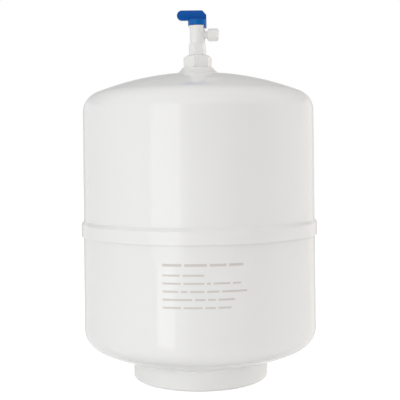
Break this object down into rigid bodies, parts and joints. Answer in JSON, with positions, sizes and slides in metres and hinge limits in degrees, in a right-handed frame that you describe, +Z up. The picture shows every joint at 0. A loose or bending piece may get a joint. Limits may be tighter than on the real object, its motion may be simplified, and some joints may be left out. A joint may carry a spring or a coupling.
{
  "type": "reverse osmosis storage tank",
  "caption": "Domed steel water storage tank on a base ring, with a quarter-turn angle valve on top and an air valve low at the back.",
  "frame": {"origin": "the middle of the base ring's foot, on the surface the tank stands on", "axes": "+Z up the tank's axis, +X along the valve's tube outlet, the air valve at the back on +Y"},
  "size_m": [0.286, 0.286, 0.4443],
  "materials": {
    "white_enamel": "gloss",
    "white_plastic": "semi-gloss",
    "blue_plastic": "semi-gloss",
    "stainless": "turned",
    "galvanised": "zinc plated",
    "liner_plastic": "moulded",
    "black_rubber": "moulded",
    "seat_white": "turned",
    "brass": "turned",
    "black_plastic": "moulded"
  },
  "bodies": {
    "tank": {"upper_shell": "white_enamel", "lower_shell": "white_enamel", "base_ring": "white_enamel", "water_liner": "liner_plastic", "diaphragm": "black_rubber", "clench_ring": "galvanised", "port_nipple": "stainless", "port_gasket": "black_rubber", "port_nut": "white_plastic", "valve_body": "white_plastic", "inlet_seat": "seat_white", "outlet_seat": "seat_white", "ball_retainer": "white_plastic", "air_valve_body": "brass", "air_valve_seal": "black_rubber", "air_valve_nut": "brass", "air_valve_core": "brass", "air_valve_spring": "stainless"},
    "lever": {"valve_handle": "blue_plastic", "valve_stem": "seat_white", "stem_ring": "black_rubber", "valve_ball": "stainless"},
    "ferrule": {"outlet_ferrule": "seat_white"},
    "outlet_nut": {"outlet_nut": "white_plastic"},
    "air_pin": {"air_valve_pin": "brass"},
    "air_cap": {"air_valve_cap": "black_plastic"}
  },
  "joints": [
    {"name": "lever_turn", "type": "hinge", "parent": "tank", "child": "lever", "pos_m": [0, 0, 0.41441], "axis": [0, 0, 1], "range_deg": [0, 90]},
    {"name": "ferrule_slide", "type": "slide", "parent": "tank", "child": "ferrule", "axis": [1, 0, 0], "range_m": [0, 0.0074]},
    {"name": "nut_spin", "type": "hinge", "parent": "ferrule", "child": "outlet_nut", "pos_m": [0.0195, 0, 0.41441], "axis": [1, 0, 0], "range_deg": [0, 2520]},
    {"name": "pin_press", "type": "slide", "parent": "tank", "child": "air_pin", "axis": [0, 0.5, -0.866], "range_m": [-0.0015, 0], "stiffness_N_per_m": 500, "springref_m": 0.001, "deforming": ["air_valve_spring"]},
    {"name": "cap_pull", "type": "slide", "parent": "tank", "child": "air_cap", "axis": [0, 0.5, -0.866], "range_m": [0, 0.012]}
  ],
  "couplings": [
    {"joint": "nut_spin", "follows": "ferrule_slide", "rad_per_m": 5936.9}
  ]
}
